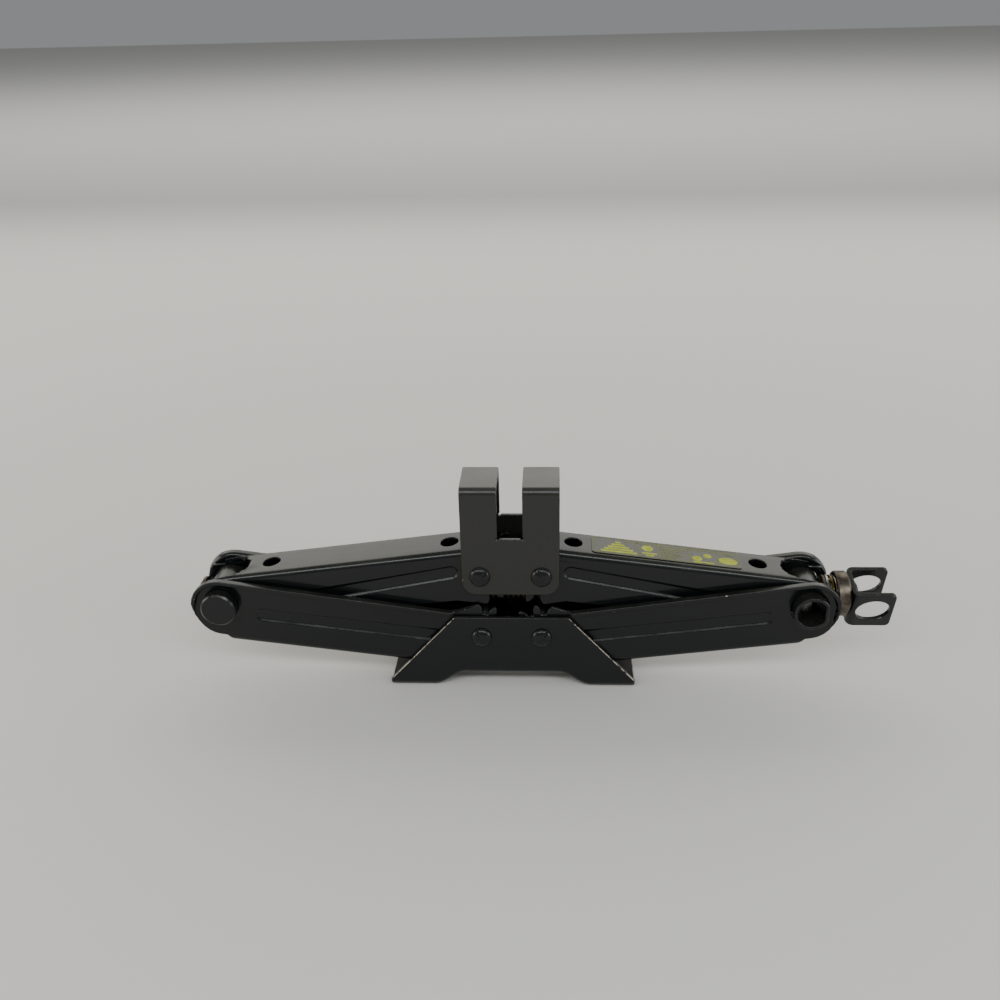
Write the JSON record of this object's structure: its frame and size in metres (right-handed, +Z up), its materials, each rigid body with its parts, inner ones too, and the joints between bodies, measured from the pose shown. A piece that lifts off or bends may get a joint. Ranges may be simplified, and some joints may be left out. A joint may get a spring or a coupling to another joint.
{
  "type": "scissor car jack",
  "caption": "Folding scissor jack: toothed channel arms between a pressed base and a slotted saddle, raised by a long screw with an eyed yoke for the handle.",
  "frame": {"origin": "middle of the model's box on the ground, under the feet", "axes": "+X along the screw towards the handle yoke, +Y across the jack to the rear, +Z up"},
  "size_m": [0.4061, 0.047, 0.1297],
  "materials": {
    "black_paint": "gloss black stoved paint on pressed steel",
    "saddle_paint": "semi-gloss black paint, a little thinner and greyer",
    "rivet_paint": "black paint over upset steel heads",
    "bare_steel": "plain turned steel, lightly browned",
    "ground_steel": "ground bearing steel",
    "greased_screw": "rolled thread, greased",
    "cage_brass": "stamped brass",
    "label_film": null
  },
  "bodies": {
    "base": {"base": "black_paint", "base_rivet_left": "rivet_paint", "base_rivet_right": "rivet_paint"},
    "lower_left": {"lower_arm_left": "black_paint"},
    "lower_right": {"lower_arm_right": "black_paint"},
    "upper_left": {"upper_arm_left": "black_paint"},
    "upper_right": {"upper_arm_right": "black_paint", "instruction_label": "label_film"},
    "saddle": {"saddle": "saddle_paint", "saddle_rivet_left": "rivet_paint", "saddle_rivet_right": "rivet_paint"},
    "nut": {"nut_trunnion": "black_paint"},
    "bearing": {"bearing_trunnion": "black_paint", "seat_washer": "bare_steel", "thrust_race_inner": "ground_steel"},
    "screw": {"lift_screw": "greased_screw", "stop_washer": "bare_steel", "thrust_race_outer": "ground_steel", "thrust_cup": "bare_steel", "handle_yoke": "black_paint"},
    "ball_cage": {"ball_cage": "cage_brass", "thrust_ball_01": "ground_steel", "thrust_ball_02": "ground_steel", "thrust_ball_03": "ground_steel", "thrust_ball_04": "ground_steel", "thrust_ball_05": "ground_steel", "thrust_ball_06": "ground_steel", "thrust_ball_07": "ground_steel", "thrust_ball_08": "ground_steel", "thrust_ball_09": "ground_steel", "thrust_ball_10": "ground_steel"}
  },
  "joints": [
    {"name": "lift", "type": "hinge", "parent": "base", "child": "lower_left", "pos_m": [-0.0334, 0, 0.0353], "axis": [0, 1, 0], "range_deg": [-1.2, 52]},
    {"name": "lower_right_fold", "type": "hinge", "parent": "base", "child": "lower_right", "pos_m": [0.0016, 0, 0.0353], "axis": [0, 1, 0], "range_deg": [-52, 1.2]},
    {"name": "upper_left_fold", "type": "hinge", "parent": "lower_left", "child": "upper_left", "pos_m": [-0.18604, 0, 0.05499], "axis": [0, 1, 0], "range_deg": [-104, 2.4]},
    {"name": "upper_right_fold", "type": "hinge", "parent": "lower_right", "child": "upper_right", "pos_m": [0.15424, 0, 0.05499], "axis": [0, 1, 0], "range_deg": [-2.4, 104]},
    {"name": "saddle_level", "type": "hinge", "parent": "upper_left", "child": "saddle", "pos_m": [-0.0334, 0, 0.07468], "axis": [0, 1, 0], "range_deg": [-1.2, 52]},
    {"name": "nut_level", "type": "hinge", "parent": "lower_left", "child": "nut", "pos_m": [-0.18604, 0, 0.05499], "axis": [0, 1, 0], "range_deg": [-52, 1.2]},
    {"name": "bearing_level", "type": "hinge", "parent": "lower_right", "child": "bearing", "pos_m": [0.15424, 0, 0.05499], "axis": [0, 1, 0], "range_deg": [-1.2, 52]},
    {"name": "screw_spin", "type": "hinge", "parent": "bearing", "child": "screw", "pos_m": [0.15424, 0, 0.05499], "axis": [1, 0, 0], "continuous": true},
    {"name": "ball_cage_spin", "type": "hinge", "parent": "bearing", "child": "ball_cage", "pos_m": [0.15424, 0, 0.05499], "axis": [1, 0, 0], "continuous": true}
  ],
  "couplings": [
    {"joint": "lower_right_fold", "follows": "lift", "ratio": -1},
    {"joint": "upper_left_fold", "follows": "lift", "ratio": -2},
    {"joint": "upper_right_fold", "follows": "lift", "ratio": 2},
    {"joint": "saddle_level", "follows": "lift", "ratio": 1},
    {"joint": "nut_level", "follows": "lift", "ratio": -1},
    {"joint": "bearing_level", "follows": "lift", "ratio": 1},
    {"joint": "ball_cage_spin", "follows": "screw_spin", "ratio": 0.5}
  ]
}
